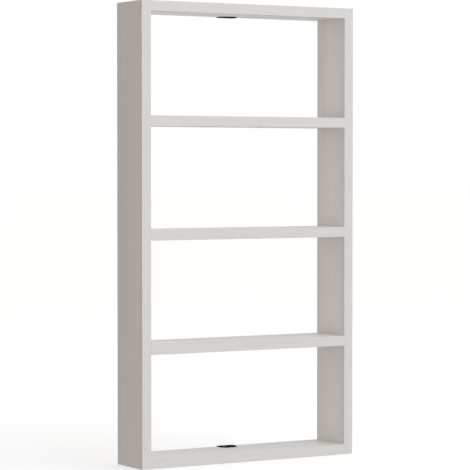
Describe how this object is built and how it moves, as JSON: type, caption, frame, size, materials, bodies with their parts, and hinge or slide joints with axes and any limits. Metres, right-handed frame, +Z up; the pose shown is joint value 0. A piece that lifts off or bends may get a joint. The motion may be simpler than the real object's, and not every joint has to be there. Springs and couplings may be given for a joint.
{
  "type": "wall bookcase",
  "caption": "Compact open-backed bookcase of thick off-white boards with equal compartments, hung on the wall by small black steel brackets at top and bottom.",
  "frame": {"origin": "centre of the footprint, on the base plane", "axes": "+Z up, +Y towards the wall, -Y to the open front, +X to the viewer's right"},
  "size_m": [0.43, 0.09, 0.8],
  "materials": {
    "melamine_board": "satin off-white melamine on chipboard, faint lengthwise grain",
    "edge_band": "satin off-white edge band",
    "black_powder_coat": "matt black powder coat, fine texture",
    "black_screw": "black phosphated steel",
    "cam_zinc": "die-cast zinc, bare",
    "zinc_plated_steel": "bright zinc plate",
    "beech": "bare fluted beech",
    "cap_plastic": "off-white moulded cap"
  },
  "bodies": {
    "root": {"bottom_panel": "melamine_board", "bottom_panel_front_band": "edge_band", "bottom_panel_rear_band": "edge_band", "bracket_screws": "black_screw", "cam_caps": "cap_plastic", "cam_locks": "cam_zinc", "connecting_bolts": "zinc_plated_steel", "dowels": "beech", "left_side": "melamine_board", "left_side_bottom_band": "edge_band", "left_side_front_band": "edge_band", "left_side_rear_band": "edge_band", "left_side_top_band": "edge_band", "lower_shelf": "melamine_board", "lower_shelf_front_band": "edge_band", "lower_shelf_rear_band": "edge_band", "middle_shelf": "melamine_board", "middle_shelf_front_band": "edge_band", "middle_shelf_rear_band": "edge_band", "right_side": "melamine_board", "right_side_bottom_band": "edge_band", "right_side_front_band": "edge_band", "right_side_rear_band": "edge_band", "right_side_top_band": "edge_band", "top_panel": "melamine_board", "top_panel_front_band": "edge_band", "top_panel_rear_band": "edge_band", "upper_shelf": "melamine_board", "upper_shelf_front_band": "edge_band", "upper_shelf_rear_band": "edge_band", "wall_bracket_bottom": "black_powder_coat", "wall_bracket_top": "black_powder_coat"}
  },
  "joints": []
}
